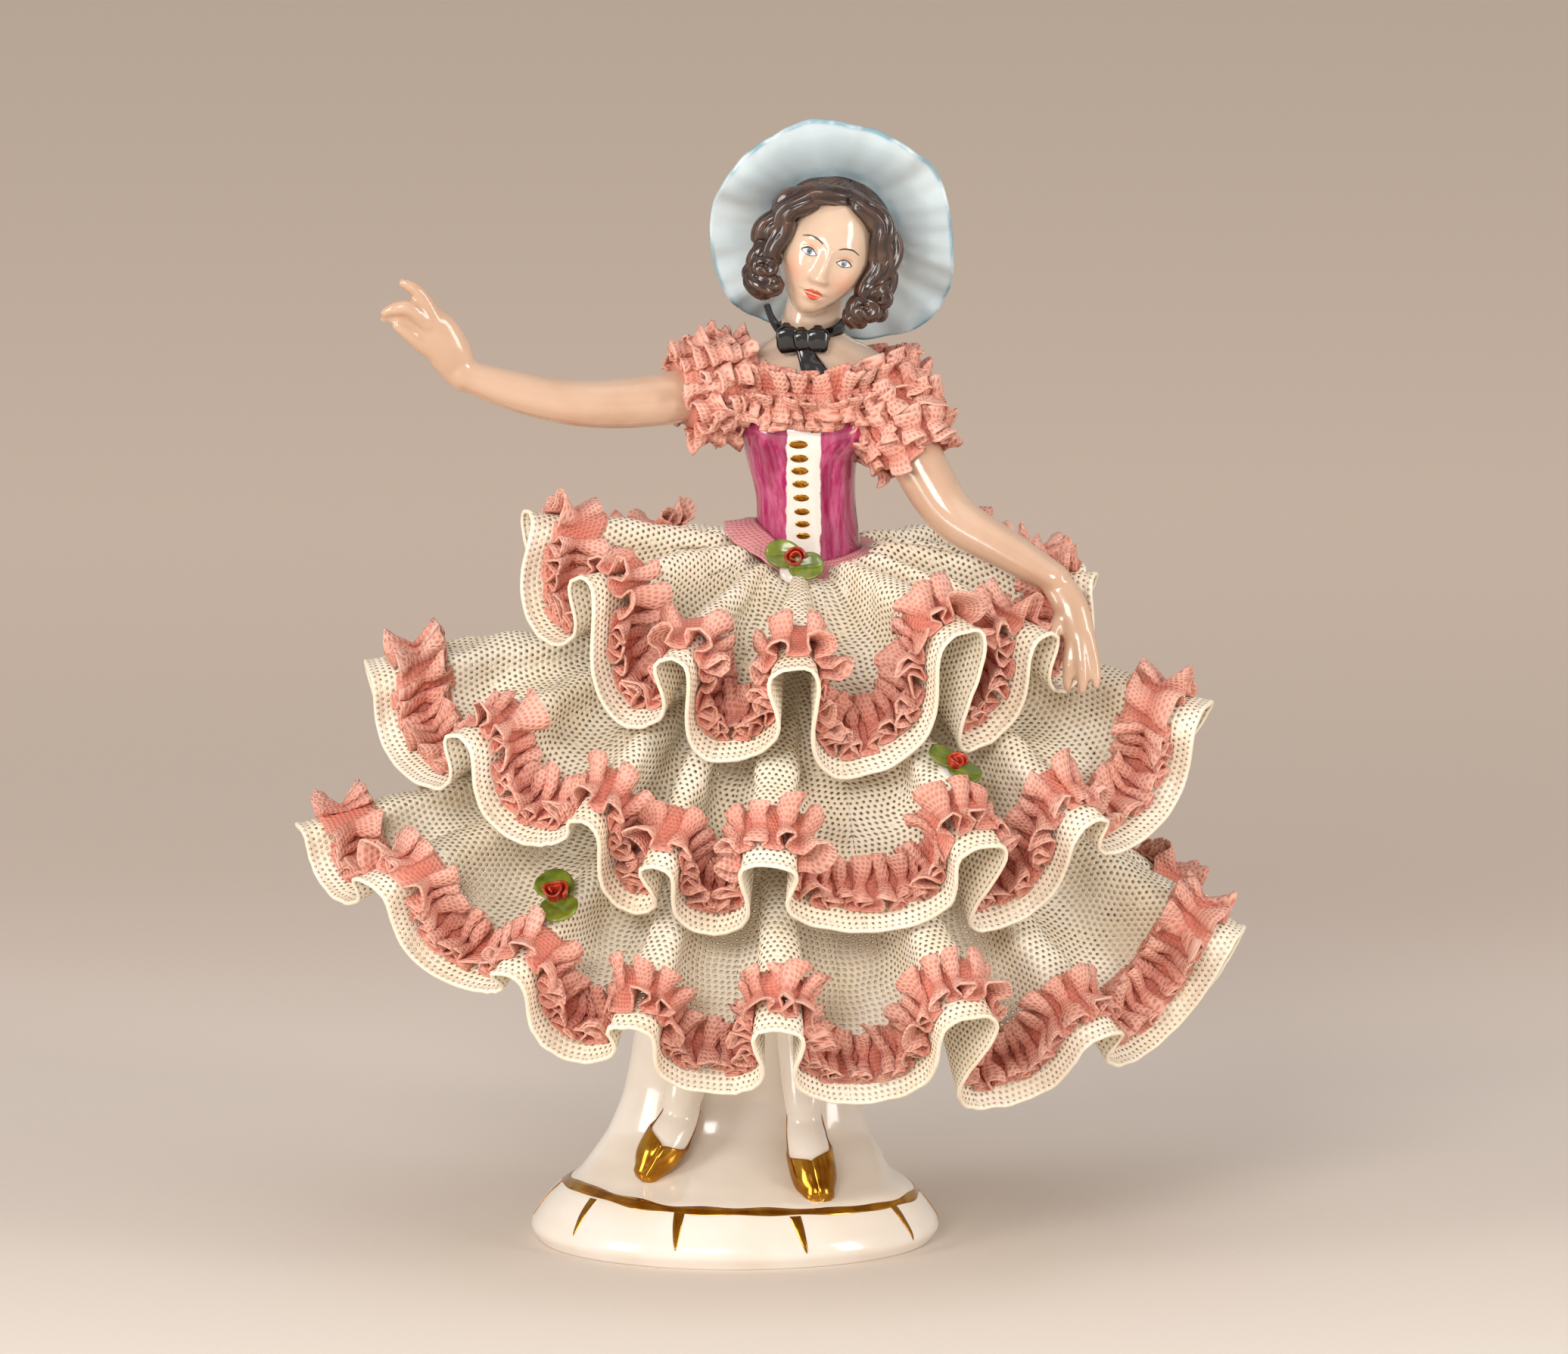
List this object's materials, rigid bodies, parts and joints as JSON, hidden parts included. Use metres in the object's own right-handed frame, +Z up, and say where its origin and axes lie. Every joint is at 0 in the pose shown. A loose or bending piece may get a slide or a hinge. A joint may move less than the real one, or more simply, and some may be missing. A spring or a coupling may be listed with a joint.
{
  "type": "porcelain lace figurine",
  "caption": "Standing lady figurine in glazed porcelain: wide tiered skirt of stiff fluted lace with ruffle bands, bonnet, outstretched arms, on an oval base.",
  "frame": {"origin": "middle of the base's underside", "axes": "+Z up, +X to the viewer's right, the figure faces -Y"},
  "size_m": [0.1653, 0.1364, 0.1996],
  "materials": {
    "white_glaze": "clear gloss glaze over white porcelain, gold and magenta enamel painted on",
    "flesh_glaze": "gloss glaze in flesh tint, hair and features painted",
    "blue_glaze": "pale grey-blue gloss glaze, darker at the edge",
    "black_glaze": "black gloss glaze",
    "ivory_lace": "fired lace, pierced by rows of small holes, satin",
    "pink_lace": "fired lace ruffles, dusty pink, satin",
    "leaf_glaze": "green leaves and a red bud, gloss glaze"
  },
  "bodies": {
    "root": {"cast_body": "white_glaze", "arm_left": "flesh_glaze", "arm_right": "flesh_glaze", "head": "flesh_glaze", "hat": "blue_glaze", "neck_bow": "black_glaze", "skirt_tier_lower": "ivory_lace", "skirt_tier_middle": "ivory_lace", "skirt_tier_top": "ivory_lace", "ruche_lower": "pink_lace", "ruche_middle": "pink_lace", "ruche_top": "pink_lace", "sleeve_left": "pink_lace", "sleeve_right": "pink_lace", "neckline_frill": "pink_lace", "waist_band": "pink_lace", "rose_waist": "leaf_glaze", "rose_middle": "leaf_glaze", "rose_lower": "leaf_glaze"}
  },
  "joints": []
}
